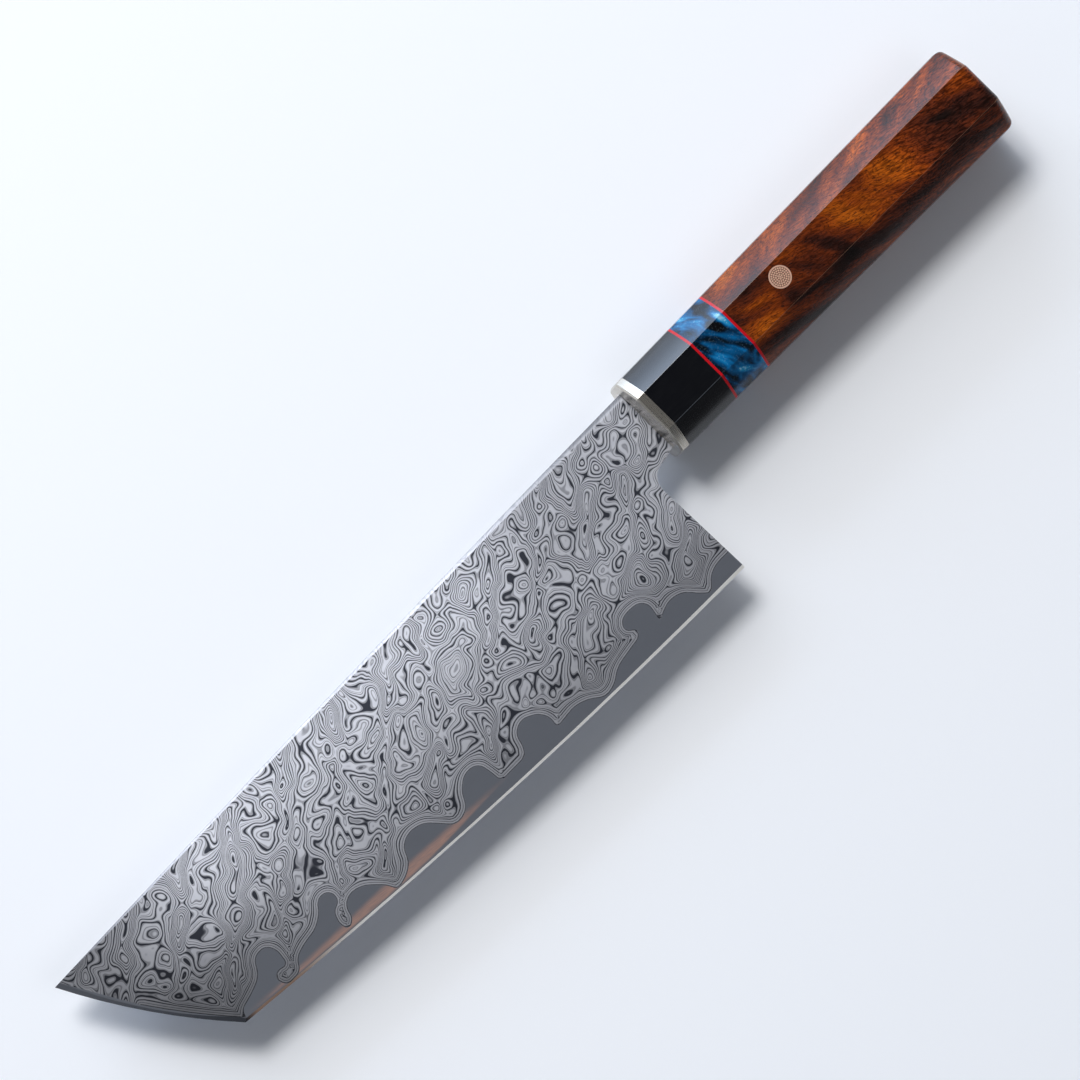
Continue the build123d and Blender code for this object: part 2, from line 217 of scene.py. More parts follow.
def addCladding(nodeName):
    # A merged copy of the CAD solid, cut into a grid. Every point of it holds its distance from the weld.
    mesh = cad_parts[nodeName].data.copy()
    piece = bpy.data.objects.new(nodeName + "_etched", mesh)
    bpy.context.collection.objects.link(piece)
    bpy.ops.object.select_all(action="DESELECT")
    piece.select_set(True)
    bpy.context.view_layer.objects.active = piece
    bpy.ops.object.mode_set(mode="EDIT")
    bpy.ops.mesh.customdata_custom_splitnormals_clear()
    bpy.ops.mesh.select_all(action="SELECT")
    bpy.ops.mesh.remove_doubles(threshold=0.002 * mm)
    low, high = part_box(nodeName)
    for axis in (0, 1):
        normal = (1, 0, 0) if axis == 0 else (0, 1, 0)
        for cut in gridCuts(low[axis], high[axis], damascus["grid"] * mm):
            bpy.ops.mesh.select_all(action="SELECT")
            bpy.ops.mesh.bisect(plane_co=(cut * normal[0], cut * normal[1], 0), plane_no=normal)
    bpy.ops.object.mode_set(mode="OBJECT")
    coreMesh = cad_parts["blade_core"].data
    coreTree = BVHTree.FromPolygons([v.co for v in coreMesh.vertices], [f.vertices for f in coreMesh.polygons])
    weld = []
    for face in mesh.polygons:
        outside = face.center + 0.2 * mm * face.normal
        above = Vector((outside.x, outside.y, 1))
        # The weld runs along the side faces of the cladding that have the core beside them.
        onWeld = face.center.x < damascus["weldEnd"] * mm and abs(face.normal.z) < 0.3
        if onWeld and coreTree.ray_cast(above, Vector((0, 0, -1)))[0]:
            corners = [mesh.vertices[i].co.to_2d().to_3d() for i in face.vertices]
            for first, second in zip(corners, corners[1:] + corners[:1]):
                steps = max(1, int((second - first).length / (0.2 * mm)))
                weld += [first.lerp(second, i / steps) for i in range(steps)]
    tree = KDTree(len(weld))
    for i, point in enumerate(weld):
        tree.insert(point, i)
    tree.balance()
    away = mesh.attributes.new("weldDistance", "FLOAT", "POINT")
    away.data.foreach_set("value", [tree.find(v.co.to_2d().to_3d())[2] / mm for v in mesh.vertices])
    bpy.ops.object.shade_smooth_by_angle(angle=math.radians(20))
    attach(piece, "root")
    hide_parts(nodeName)
    print("cladding", nodeName, len(mesh.polygons), "faces,", len(weld), "weld points")
    return piece


material, tree, shader = startMaterial("etched_layered_steel", {"Metallic": 0.92, "Roughness": 0.7})
place = addNode(tree, "TexCoord", output="Object")
spot = addNode(tree, "Mapping", {
    "Scale": inMillimetres, "Rotation": turned(0, 0, damascus["turn"]),
}, {"Vector": place})
drift = addNode(tree, "TexNoise", {"Scale": 0.12, "Detail": 1.0}, {"Vector": spot}, "Color")
drifted = addNode(tree, "VectorMath", {"operation": "MULTIPLY_ADD", 1: (6, 6, 6)}, {0: drift, 2: spot})
squeezed = addNode(tree, "Mapping", {"Scale": (1.0, 0.85, 0.35)}, {"Vector": drifted})
bumps = addNode(tree, "TexNoise", {
    "Scale": 1 / damascus["bumpSize"], "Detail": 1.0, "Roughness": 0.5, "Lacunarity": 2.1,
}, {"Vector": squeezed})
across = addNode(tree, "SeparateXYZ", links={0: drifted}, output="X")
column = addNode(tree, "Math", {"operation": "DIVIDE", 1: damascus["columnWidth"]}, {0: across})
column = addNode(tree, "Math", {"operation": "FRACT"}, {0: column})
fromSeam = addNode(tree, "Math", {"operation": "SUBTRACT", 1: 0.5}, {0: column})
fromSeam = addNode(tree, "Math", {"operation": "ABSOLUTE"}, {0: fromSeam})
seam = addNode(tree, "MapRange", smooth | {
    "From Max": damascus["seamWidth"] / damascus["columnWidth"], "To Min": damascus["seamHeight"], "To Max": 0,
}, {"Value": fromSeam})
billet = addNode(tree, "Math", {"operation": "ADD"}, {0: bumps, 1: seam})
free = addNode(tree, "Math", {
    "operation": "MULTIPLY_ADD", 1: damascus["layers"], 2: damascus["bottomLayer"],
}, {0: billet})
# Near the weld the layers lie along it.
weldDistance = addNode(tree, "Attribute", {"attribute_name": "weldDistance"}, output="Fac")
along = addNode(tree, "Math", {"operation": "DIVIDE", 1: damascus["weldSpacing"]}, {0: weldDistance})
hold = addNode(tree, "MapRange", smooth | {
    "From Min": 0.8, "From Max": damascus["weldReach"], "To Min": 1, "To Max": 0,
}, {"Value": weldDistance})
height = addNode(tree, "Mix", {"data_type": "FLOAT"}, {0: hold, 2: free, 3: along})
layer = addNode(tree, "Math", {"operation": "FLOOR"}, {0: height})
within = addNode(tree, "Math", {"operation": "SUBTRACT"}, {0: height, 1: layer})
chance = addNode(tree, "TexWhiteNoise", {"noise_dimensions": "1D"}, {"W": layer})
least, most = damascus["darkShare"]
share = addNode(tree, "Math", {"operation": "MULTIPLY_ADD", 1: most - least, 2: least}, {0: chance})
fallStart = addNode(tree, "Math", {"operation": "SUBTRACT", 1: 0.08}, {0: share})
fallEnd = addNode(tree, "Math", {"operation": "ADD", 1: 0.08}, {0: share})
rise = addNode(tree, "MapRange", smooth | {"From Max": 0.14}, {"Value": within})
fall = addNode(tree, "MapRange", smooth, {"Value": within, "From Min": fallStart, "From Max": fallEnd})
etched = addNode(tree, "Math", {"operation": "SUBTRACT", "use_clamp": True}, {0: rise, 1: fall})
fine = addNode(tree, "Math", {"operation": "MULTIPLY", 1: damascus["fineLines"]}, {0: height})
fine = addNode(tree, "Math", {"operation": "PINGPONG", 1: 0.5}, {0: fine})
fine = addNode(tree, "MapRange", smooth | {
    "From Min": 0.02, "From Max": 0.24, "To Min": damascus["fineDepth"], "To Max": 0,
}, {"Value": fine})
etched = addNode(tree, "Math", {"operation": "MAXIMUM"}, {0: etched, 1: fine})
mottle = addNode(tree, "TexNoise", {"Scale": 0.5, "Detail": 3.0}, {"Vector": spot})
brightTone = addNode(tree, "Mix", {
    "data_type": "RGBA", 6: hexColour(damascus["bright"]), 7: hexColour(damascus["cloud"]),
}, {0: mottle}, 2)
normal = addNode(tree, "NewGeometry", output="Normal")
facing = addNode(tree, "SeparateXYZ", links={0: normal}, output="Y")
worn = addNode(tree, "MapRange", smooth | {
    "From Min": 0.02, "From Max": 0.3, "To Min": 1, "To Max": 0.15,
}, {"Value": facing})
darkness = addNode(tree, "Math", {"operation": "MULTIPLY"}, {0: etched, 1: worn})
tone = addNode(tree, "Mix", {
    "data_type": "RGBA", 7: hexColour(damascus["dark"]),
}, {0: darkness, 6: brightTone}, 2)
# Painted shade: the steel's tone is darkened from the spine down to the edge and out to the tip.
flat = addNode(tree, "Mapping", {"Scale": inMillimetres}, {"Vector": place})
alongBlade = addNode(tree, "SeparateXYZ", links={0: flat}, output="X")
upBlade = addNode(tree, "SeparateXYZ", links={0: flat}, output="Y")
start, end, full = damascus["paintedEdgeShade"]
downBlade = addNode(tree, "MapRange", {
    "From Min": start, "From Max": end, "To Min": 1, "To Max": full,
}, {"Value": upBlade})
start, end, full = damascus["paintedTipShade"]
toTip = addNode(tree, "MapRange", smooth | {
    "From Min": start, "From Max": end, "To Min": 1, "To Max": full,
}, {"Value": alongBlade})
# More painted shade: the heel is darker on the spine's half and the front end on the edge's half.
start, end, full = damascus["paintedHeelShade"]
heelDepth = addNode(tree, "MapRange", smooth | {
    "From Min": -6, "From Max": 10, "To Min": 1, "To Max": full,
}, {"Value": upBlade})
toHeel = addNode(tree, "MapRange", smooth | {
    "From Min": start, "From Max": end, "To Min": 1,
}, {"Value": alongBlade, "To Max": heelDepth})
start, end, full = damascus["paintedLowTipShade"]
lowDepth = addNode(tree, "MapRange", smooth | {
    "From Min": 6, "From Max": -6, "To Min": 1, "To Max": full,
}, {"Value": upBlade})
toLowTip = addNode(tree, "MapRange", smooth | {
    "From Min": start, "From Max": end, "To Min": 1,
}, {"Value": alongBlade, "To Max": lowDepth})
# Painted shade on the eased spine, darker where it faces the lamps' side and darker still near the neck.
rimPaintedShade = addNode(tree, "MapRange", smooth | {
    "From Min": 0.05, "From Max": 0.7, "To Min": 1, "To Max": damascus["paintedRimShade"],
}, {"Value": facing})
paintedShade = addNode(tree, "Math", {"operation": "MULTIPLY"}, {0: downBlade, 1: toTip})
paintedShade = addNode(tree, "Math", {"operation": "MULTIPLY"}, {0: paintedShade, 1: toHeel})
paintedShade = addNode(tree, "Math", {"operation": "MULTIPLY"}, {0: paintedShade, 1: toLowTip})
atNeck = addNode(tree, "MapRange", smooth | {
    "From Min": 0, "From Max": 30, "To Min": 1, "To Max": damascus["paintedNeckRimShade"],
}, {"Value": alongBlade})
paintedNeckRimShade = addNode(tree, "MapRange", smooth | {
    "From Min": 0.05, "From Max": 0.5, "To Min": 1,
}, {"Value": facing, "To Max": atNeck})
paintedShade = addNode(tree, "Math", {"operation": "MULTIPLY"}, {0: paintedShade, 1: rimPaintedShade})
paintedShade = addNode(tree, "Math", {"operation": "MULTIPLY"}, {0: paintedShade, 1: paintedNeckRimShade})
shaded = addNode(tree, "VectorMath", {"operation": "SCALE"}, {0: tone, "Scale": paintedShade})
tree.links.new(shaded, shader.inputs["Base Color"])
relief = addNode(tree, "Bump", {"Strength": 0.35, "Distance": 0.02 * mm, "invert": True}, {"Height": etched})
tree.links.new(relief, shader.inputs["Normal"])
rough = addNode(tree, "MapRange", smooth | {"To Min": 0.68, "To Max": 0.74}, {"Value": etched})
tree.links.new(rough, shader.inputs["Roughness"])
for nodeName in ("cladding_left", "cladding_right"):
    piece = addCladding(nodeName)
    piece.data.materials.clear()
    piece.data.materials.append(material)

# Core: plain hard steel, satin from a fine belt, with a honed bevel whose near-white tone is partly its polish and
# partly a painted highlight.
# A painted warm reflection in straw and copper runs along the bevel on the front half.
core = {
    "colour": "73777F",
    "bevel": "FFFEFA",
    "paintedDimBevel": "A08878",
    "warmReflection": "B8968A",
    "paintedShadeTipBevel": "34363C",
    "heel": (32.85, -28.6),    # mm, ends of the cutting edge
    "corner": (-137.45, -19.0),
    "bow": 2.05,
    "beltLines": (3.3, 0.17, 0.17),
}
material, tree, shader = startMaterial("satin_core_steel", {"Metallic": 1.0, "Roughness": 0.5})
place = addNode(tree, "TexCoord", output="Object")
flat = addNode(tree, "Mapping", {"Scale": inMillimetres}, {"Vector": place})
alongBlade = addNode(tree, "SeparateXYZ", links={0: flat}, output="X")
upBlade = addNode(tree, "SeparateXYZ", links={0: flat}, output="Y")
along = addNode(tree, "MapRange", {
    "clamp": False, "From Min": core["heel"][0], "From Max": core["corner"][0],
}, {"Value": alongBlade})
# The edge is a shallow bow between its ends.
chord = addNode(tree, "MapRange", {
    "clamp": False, "To Min": core["heel"][1], "To Max": core["corner"][1],
}, {"Value": along})
ahead = addNode(tree, "Math", {"operation": "SUBTRACT", 0: 1}, {1: along})
sag = addNode(tree, "Math", {"operation": "MULTIPLY"}, {0: along, 1: ahead})
edgeHeight = addNode(tree, "Math", {"operation": "MULTIPLY_ADD", 1: -4 * core["bow"]}, {0: sag, 2: chord})
fromEdge = addNode(tree, "Math", {"operation": "SUBTRACT"}, {0: upBlade, 1: edgeHeight})
# Painted reflection: a straw and copper band just above the bevel, from halfway along to near the tip, broken by
# the belt streaks.
reflectionTop = addNode(tree, "MapRange", smooth | {
    "From Min": 0.65, "From Max": 0.95, "To Min": 4.0, "To Max": 2.0,
}, {"Value": along})
reflectionFoot = addNode(tree, "MapRange", smooth | {
    "From Min": 0.45, "From Max": 0.68, "To Min": 2.6, "To Max": 0.3,
}, {"Value": along})
aboveFoot = addNode(tree, "Math", {"operation": "SUBTRACT"}, {0: fromEdge, 1: reflectionFoot})
aboveReflection = addNode(tree, "Math", {"operation": "SUBTRACT"}, {0: fromEdge, 1: reflectionTop})
upper = addNode(tree, "MapRange", smooth | {
    "From Min": -1.3, "From Max": 0.6, "To Min": 1, "To Max": 0,
}, {"Value": aboveReflection})
lower = addNode(tree, "MapRange", smooth | {"From Min": 0.3, "From Max": 1.1}, {"Value": aboveFoot})
rearEnd = addNode(tree, "MapRange", smooth | {"From Min": 0.45, "From Max": 0.6}, {"Value": along})
frontEnd = addNode(tree, "MapRange", smooth | {
    "From Min": 0.9, "From Max": 1.0, "To Min": 1, "To Max": 0,
}, {"Value": along})
beltPlace = addNode(tree, "Mapping", {
    "vector_type": "TEXTURE", "Scale": millimetres(*core["beltLines"]), "Rotation": turned(0, 0, -8),
}, {"Vector": place})
belt = addNode(tree, "TexNoise", {"Scale": 1.0, "Detail": 3.0}, {"Vector": beltPlace})
streaks = addNode(tree, "MapRange", smooth | {
    "From Min": 0.3, "From Max": 0.7, "To Min": 0.55, "To Max": 1,
}, {"Value": belt})
paintedReflection = addNode(tree, "Math", {"operation": "MULTIPLY"}, {0: upper, 1: lower})
paintedReflection = addNode(tree, "Math", {"operation": "MULTIPLY"}, {0: paintedReflection, 1: rearEnd})
paintedReflection = addNode(tree, "Math", {"operation": "MULTIPLY"}, {0: paintedReflection, 1: frontEnd})
paintedReflection = addNode(tree, "Math", {"operation": "MULTIPLY"}, {0: paintedReflection, 1: streaks})
steelAndReflection = addNode(tree, "Mix", {
    "data_type": "RGBA", 6: hexColour(core["colour"]), 7: hexColour(core["warmReflection"]),
}, {0: paintedReflection}, 2)
normal = addNode(tree, "NewGeometry", output="Normal")
facing = addNode(tree, "SeparateXYZ", links={0: normal}, output="Y")
# The bevel's near-white tone is partly its honed polish and partly a painted highlight. Further forward it is a
# painted dimmer, browner reflection, and at the tip painted shade.
bevel = addNode(tree, "MapRange", smooth | {
    "From Min": -0.12, "From Max": -0.06, "To Min": 1, "To Max": 0,
}, {"Value": facing})
dimBevelShare = addNode(tree, "MapRange", smooth | {"From Min": 0.75, "From Max": 0.92}, {"Value": along})
bevelTone = addNode(tree, "Mix", {
    "data_type": "RGBA", 6: hexColour(core["bevel"]), 7: hexColour(core["paintedDimBevel"]),
}, {0: dimBevelShare}, 2)
atTip = addNode(tree, "MapRange", smooth | {"From Min": 0.97, "From Max": 1.0}, {"Value": along})
bevelTone = addNode(tree, "Mix", {
    "data_type": "RGBA", 7: hexColour(core["paintedShadeTipBevel"]),
}, {0: atTip, 6: bevelTone}, 2)
tone = addNode(tree, "Mix", {"data_type": "RGBA"}, {0: bevel, 6: steelAndReflection, 7: bevelTone}, 2)
tree.links.new(tone, shader.inputs["Base Color"])
rough = addNode(tree, "MapRange", smooth | {
    "From Min": 0.3, "From Max": 0.7, "To Min": 0.48, "To Max": 0.53,
}, {"Value": belt})
tree.links.new(rough, shader.inputs["Roughness"])
dress(material, "blade_core")

# Bolster: nickel silver, brushed round the octagon and then polished, so that fine lines stay in it.
bolster = {"colour": "CDC8BE", "line": "BDB6AA", "brushLines": (0.1, 6.0, 6.0)}
material, tree, shader = startMaterial("brushed_nickel_silver", {"Metallic": 1.0, "Roughness": 0.28})
place = addNode(tree, "TexCoord", output="Object")
brushPlace = addNode(tree, "Mapping", {
    "vector_type": "TEXTURE", "Scale": millimetres(*bolster["brushLines"]),
}, {"Vector": place})
brush = addNode(tree, "TexNoise", {"Scale": 1.0, "Detail": 2.0}, {"Vector": brushPlace})
lines = addNode(tree, "MapRange", smooth | {"From Min": 0.4, "From Max": 0.75}, {"Value": brush})
tone = addNode(tree, "Mix", {
    "data_type": "RGBA", 6: hexColour(bolster["colour"]), 7: hexColour(bolster["line"]),
}, {0: lines}, 2)
tree.links.new(tone, shader.inputs["Base Color"])
rough = addNode(tree, "MapRange", smooth | {
    "From Min": 0.3, "From Max": 0.7, "To Min": 0.26, "To Max": 0.3,
}, {"Value": brush})
tree.links.new(rough, shader.inputs["Roughness"])
dress(material, "bolster")

# Ferrule: black phenolic block, buffed to a high gloss. The buffing leaves a very faint haze.
ferrule = {
    "colour": "07080C",
    "haze": "0C0D11",
    "paintedRidgeHighlight": "60666E",
    "hazeSize": 6.0,           # mm
    "scratches": (5.0, 0.15, 0.15),
}
material, tree, shader = startMaterial("buffed_black_phenolic", {
    "Roughness": 0.14, "IOR": 1.54, "Specular IOR Level": 0.8,
})
place = addNode(tree, "TexCoord", output="Object")
cloud = addNode(tree, "TexNoise", {"Scale": 1 / (ferrule["hazeSize"] * mm), "Detail": 2.0}, {"Vector": place})
tone = addNode(tree, "Mix", {
    "data_type": "RGBA", 6: hexColour(ferrule["colour"]), 7: hexColour(ferrule["haze"]),
}, {0: cloud}, 2)
# The two steps of lean pick out the ridges between the flats and the facets, where a paler tone is a painted
# highlight.
normal = addNode(tree, "NewGeometry", output="Normal")
facing = addNode(tree, "SeparateXYZ", links={0: normal}, output="Y")
lean = addNode(tree, "Math", {"operation": "ABSOLUTE"}, {0: facing})
offFlat = addNode(tree, "MapRange", smooth | {"From Min": 0.12, "From Max": 0.25}, {"Value": lean})
offFacet = addNode(tree, "MapRange", smooth | {
    "From Min": 0.42, "From Max": 0.56, "To Min": 1, "To Max": 0,
}, {"Value": lean})
paintedRidgeHighlight = addNode(tree, "Math", {"operation": "MULTIPLY"}, {0: offFlat, 1: offFacet})
tone = addNode(tree, "Mix", {"data_type": "RGBA", 7: hexColour(ferrule["paintedRidgeHighlight"])}, {0: paintedRidgeHighlight, 6: tone}, 2)
tree.links.new(tone, shader.inputs["Base Color"])
buffPlace = addNode(tree, "Mapping", {
    "vector_type": "TEXTURE", "Scale": millimetres(*ferrule["scratches"]),
}, {"Vector": place})
buff = addNode(tree, "TexNoise", {"Scale": 1.0, "Detail": 2.0}, {"Vector": buffPlace})
rough = addNode(tree, "MapRange", smooth | {
    "From Min": 0.3, "From Max": 0.7, "To Min": 0.1, "To Max": 0.2,
}, {"Value": buff})
tree.links.new(rough, shader.inputs["Roughness"])
dress(material, "ferrule")

# Liners: vulcanised fibre sheet, vivid red right through, with a slight felted mottle.
liners = {"colour": "C8121C", "mottle": "A80C18", "fibreSize": (0.5, 0.8, 0.8)}
material, tree, shader = startMaterial("red_vulcanised_fibre", {"Roughness": 0.22, "IOR": 1.5})
place = addNode(tree, "TexCoord", output="Object")
fibrePlace = addNode(tree, "Mapping", {
    "vector_type": "TEXTURE", "Scale": millimetres(*liners["fibreSize"]),
}, {"Vector": place})
felt = addNode(tree, "TexNoise", {"Scale": 1.0, "Detail": 2.0}, {"Vector": fibrePlace})
tone = addNode(tree, "Mix", {
    "data_type": "RGBA", 6: hexColour(liners["colour"]), 7: hexColour(liners["mottle"]),
}, {0: felt}, 2)
tree.links.new(tone, shader.inputs["Base Color"])
dress(material, "liner_front", "liner_rear")

# Ring: cast polyester with pearl pigment folded in, buffed. The pigment lies in folded sheets,
# dark and deep blue between pale crests, with fine flakes whose pale tone is partly their pearl and partly a
# painted glint.
ring = {
    "stirSize": 8.0,           # mm, and how far the stirring moves the pigment
    "stirPush": 5.0,
    "foldTurn": -62,           # degrees from the knife's axis
    "foldSize": (11.0, 3.2, 4.0),
    "flakeSize": 0.3,
    "flake": "BFE6F6",
    "crests": (                # mm: centre, turn, half sizes, and how far the tone rises there
        ((64.6, 12.4, 22.5), -62, (4.5, 1.5, 2.5), 0.2),
        ((67.2, 7.6, 21.0), -55, (4.0, 1.3, 2.5), 0.16),
        ((71.8, 19.0, 22.5), -80, (3.6, 1.1, 2.5), 0.22),
        ((65.8, 24.0, 20.0), 40, (4.0, 2.6, 3.0), -0.1),
        ((69.2, 19.4, 22.5), -70, (2.6, 1.2, 2.5), -0.24),
        ((63.0, 17.5, 22.5), -70, (3.4, 0.9, 2.5), -0.16),
        ((70.5, 12.0, 22.5), -62, (4.5, 1.0, 2.5), -0.12),
    ),
    "colours": (
        (0.28, "0A0A0C"), (0.39, "031320"), (0.47, "042C4A"), (0.54, "054A76"), (0.61, "0A6298"),
        (0.70, "2585B4"), (0.80, "74B4D0"), (0.90, "BCCEDA"),
    ),
}
material, tree, shader = startMaterial("blue_pearl_resin", {"Roughness": 0.1, "IOR": 1.54})
place = addNode(tree, "TexCoord", output="Object")
stir = addNode(tree, "TexNoise", {"Scale": 1 / (ring["stirSize"] * mm), "Detail": 1.0}, {"Vector": place}, "Color")
push = millimetres(ring["stirPush"], ring["stirPush"], ring["stirPush"])
stirred = addNode(tree, "VectorMath", {"operation": "MULTIPLY_ADD", 1: push}, {0: stir, 2: place})
foldPlace = addNode(tree, "Mapping", {
    "vector_type": "TEXTURE", "Scale": millimetres(*ring["foldSize"]), "Rotation": turned(0, 0, ring["foldTurn"]),
}, {"Vector": stirred})
folds = addNode(tree, "TexNoise", {
    "Scale": 1.0, "Detail": 2.5, "Roughness": 0.5, "Distortion": 0.3,
}, {"Vector": foldPlace})
tone = folds
for centre, turn, halfSizes, rise in ring["crests"]:
    crestPlace = addNode(tree, "Mapping", {
        "vector_type": "TEXTURE", "Location": millimetres(*centre), "Scale": millimetres(*halfSizes),
        "Rotation": turned(0, 0, turn),
    }, {"Vector": place})
    away = addNode(tree, "VectorMath", {"operation": "LENGTH"}, {0: crestPlace}, "Value")
    lift = addNode(tree, "MapRange", smooth | {
        "From Min": 0.3, "From Max": 1.3, "To Min": rise, "To Max": 0,
    }, {"Value": away})
    tone = addNode(tree, "Math", {"operation": "ADD"}, {0: tone, 1: lift})
pearl = addNode(tree, "ValToRGB", {"stops": ring["colours"]}, {0: tone})
# Painted glint: some flakes in the pale crests are given a pale tone.
flakes = addNode(tree, "TexVoronoi", {"Scale": 1 / (ring["flakeSize"] * mm)}, {"Vector": place}, "Color")
flake = addNode(tree, "SeparateXYZ", links={0: flakes}, output="X")
paintedGlint = addNode(tree, "MapRange", smooth | {"From Min": 0.78, "From Max": 0.95}, {"Value": flake})
pale = addNode(tree, "MapRange", smooth | {
    "From Min": 0.58, "From Max": 0.8, "To Min": 0.03, "To Max": 0.4,
}, {"Value": tone})
paintedGlint = addNode(tree, "Math", {"operation": "MULTIPLY"}, {0: paintedGlint, 1: pale})
tone = addNode(tree, "Mix", {"data_type": "RGBA", 7: hexColour(ring["flake"])}, {0: paintedGlint, 6: pearl}, 2)
tree.links.new(tone, shader.inputs["Base Color"])
dress(material, "resin_ring")

# Grip: figured desert ironwood, oiled and rubbed to a soft gloss. Amber heartwood lies between
# smoky bands that follow the tilted growth layers, with bright flecks and short dark pores.
grip = {
    "growthTurn": (20, -12, 0),      # degrees that turn the growth layers
    "wander": 5.0,                   # mm that the layers wander, and over what distance
    "wanderSize": 22.0,
    "bandSize": (40.0, 13.0, 3.0),   # mm along the fibres, across them and through the layers
    "growthLines": 26.0,             # lines for one unit of the bands' height
    "growthDepth": 0.6,
    "fleckTurn": -15,
    "fleckSize": (2.6, 0.38, 0.38),
    "fleckRise": (118, 140),         # mm along the knife where the flecks grow stronger
    "poreSize": (1.2, 0.26, 0.26),   # wider than the real 0.15 mm, so that it shows
    "pore": "150A07",
    "paintedRidgeHighlight": "A07A62",              # painted highlight along the ridges
    "figure": (                      # mm: centre, turn, half sizes, and how far the tone rises there
        ((129.0, 15.0, 22.0), -42, (13.0, 5.5, 8.0), 0.15),
        ((114.5, 14.0, 22.0), -62, (8.0, 3.2, 7.0), 0.13),
        ((81.0, 12.5, 22.0), 20, (8.0, 5.0, 8.0), 0.12),
        ((128.0, 25.0, 19.5), 24, (9.0, 1.7, 3.0), 0.2),
        ((140.0, 25.0, 19.5), 24, (8.0, 1.5, 3.0), -0.16),
        ((152.0, 25.0, 19.5), 24, (8.0, 1.6, 3.0), 0.14),
        ((104.0, 25.0, 19.5), 24, (8.0, 1.7, 3.0), -0.14),
        ((116.0, 25.0, 19.5), 24, (6.0, 1.3, 3.0), 0.1),
        ((84.0, 25.0, 19.0), 10, (8.0, 4.0, 4.0), 0.16),
        ((106.0, 12.5, 22.0), -62, (7.0, 2.0, 7.0), -0.14),
        ((88.5, 12.0, 22.0), -62, (4.0, 2.2, 6.0), -0.08),
        ((150.0, 16.0, 22.0), -15, (5.0, 1.2, 5.0), -0.16),
        ((118.0, 6.5, 20.0), 0, (60.0, 3.6, 4.0), -0.12),
        ((106.0, 8.0, 21.5), 0, (5.0, 2.4, 3.0), -0.1),
        ((148.0, 9.0, 21.5), -10, (6.0, 1.8, 3.0), -0.14),
    ),
    "colours": (
        (0.2, "110806"), (0.34, "2A110A"), (0.44, "481C0B"), (0.54, "5F2609"),
        (0.64, "783408"), (0.76, "90450A"), (0.9, "AA5C16"),
    ),
}
material, tree, shader = startMaterial("oiled_ironwood", {
    "Roughness": 0.2, "IOR": 1.5, "Specular IOR Level": 0.4,
})
place = addNode(tree, "TexCoord", output="Object")
sway = addNode(tree, "TexNoise", {
    "Scale": 1 / (grip["wanderSize"] * mm), "Detail": 1.0,
}, {"Vector": place}, "Color")
push = millimetres(grip["wander"], grip["wander"], grip["wander"])
swayed = addNode(tree, "VectorMath", {"operation": "MULTIPLY_ADD", 1: push}, {0: sway, 2: place})
level = addNode(tree, "Mapping", {"Rotation": turned(*grip["growthTurn"])}, {"Vector": swayed})
bandPlace = addNode(tree, "Mapping", {
    "vector_type": "TEXTURE", "Scale": millimetres(*grip["bandSize"]),
}, {"Vector": level})
bands = addNode(tree, "TexNoise", {"Scale": 1.0, "Detail": 3.0, "Roughness": 0.5}, {"Vector": bandPlace})
tone = bands
for centre, turn, halfSizes, rise in grip["figure"]:
    figurePlace = addNode(tree, "Mapping", {
        "vector_type": "TEXTURE", "Location": millimetres(*centre), "Scale": millimetres(*halfSizes),
        "Rotation": turned(0, 0, turn),
    }, {"Vector": place})
    away = addNode(tree, "VectorMath", {"operation": "LENGTH"}, {0: figurePlace}, "Value")
    lift = addNode(tree, "MapRange", smooth | {
        "From Min": 0.3, "From Max": 1.4, "To Min": rise, "To Max": 0,
    }, {"Value": away})
    tone = addNode(tree, "Math", {"operation": "ADD"}, {0: tone, 1: lift})
wood = addNode(tree, "ValToRGB", {"stops": grip["colours"]}, {0: tone})
fleckPlace = addNode(tree, "Mapping", {
    "vector_type": "TEXTURE", "Scale": millimetres(*grip["fleckSize"]), "Rotation": turned(0, 0, grip["fleckTurn"]),
}, {"Vector": swayed})
flecks = addNode(tree, "TexNoise", {
    "Scale": 1.0, "Detail": 2.0, "Roughness": 0.6, "Distortion": 0.4,
}, {"Vector": fleckPlace})
# The flecks are strongest in the rear third.
alongGrip = addNode(tree, "SeparateXYZ", links={0: place}, output="X")
start, end = grip["fleckRise"]
fleckLow = addNode(tree, "MapRange", smooth | {
    "From Min": start * mm, "From Max": end * mm, "To Min": 0.7, "To Max": 0.5,
}, {"Value": alongGrip})
fleckHigh = addNode(tree, "MapRange", smooth | {
    "From Min": start * mm, "From Max": end * mm, "To Min": 1.45, "To Max": 2.1,
}, {"Value": alongGrip})
light = addNode(tree, "MapRange", smooth | {
    "From Min": 0.34, "From Max": 0.66,
}, {"Value": flecks, "To Min": fleckLow, "To Max": fleckHigh})
# Thin dark growth lines run along the bands.
growth = addNode(tree, "Math", {"operation": "MULTIPLY", 1: grip["growthLines"]}, {0: bands})
growth = addNode(tree, "Math", {"operation": "PINGPONG", 1: 0.5}, {0: growth})
growth = addNode(tree, "MapRange", smooth | {
    "From Max": 0.2, "To Min": grip["growthDepth"], "To Max": 1.06,
}, {"Value": growth})
light = addNode(tree, "Math", {"operation": "MULTIPLY"}, {0: light, 1: growth})
lit = addNode(tree, "VectorMath", {"operation": "SCALE"}, {0: wood, "Scale": light})
porePlace = addNode(tree, "Mapping", {
    "vector_type": "TEXTURE", "Scale": millimetres(*grip["poreSize"]), "Rotation": turned(0, 0, grip["fleckTurn"]),
}, {"Vector": swayed})
pores = addNode(tree, "TexNoise", {"Scale": 1.0, "Detail": 1.0}, {"Vector": porePlace})
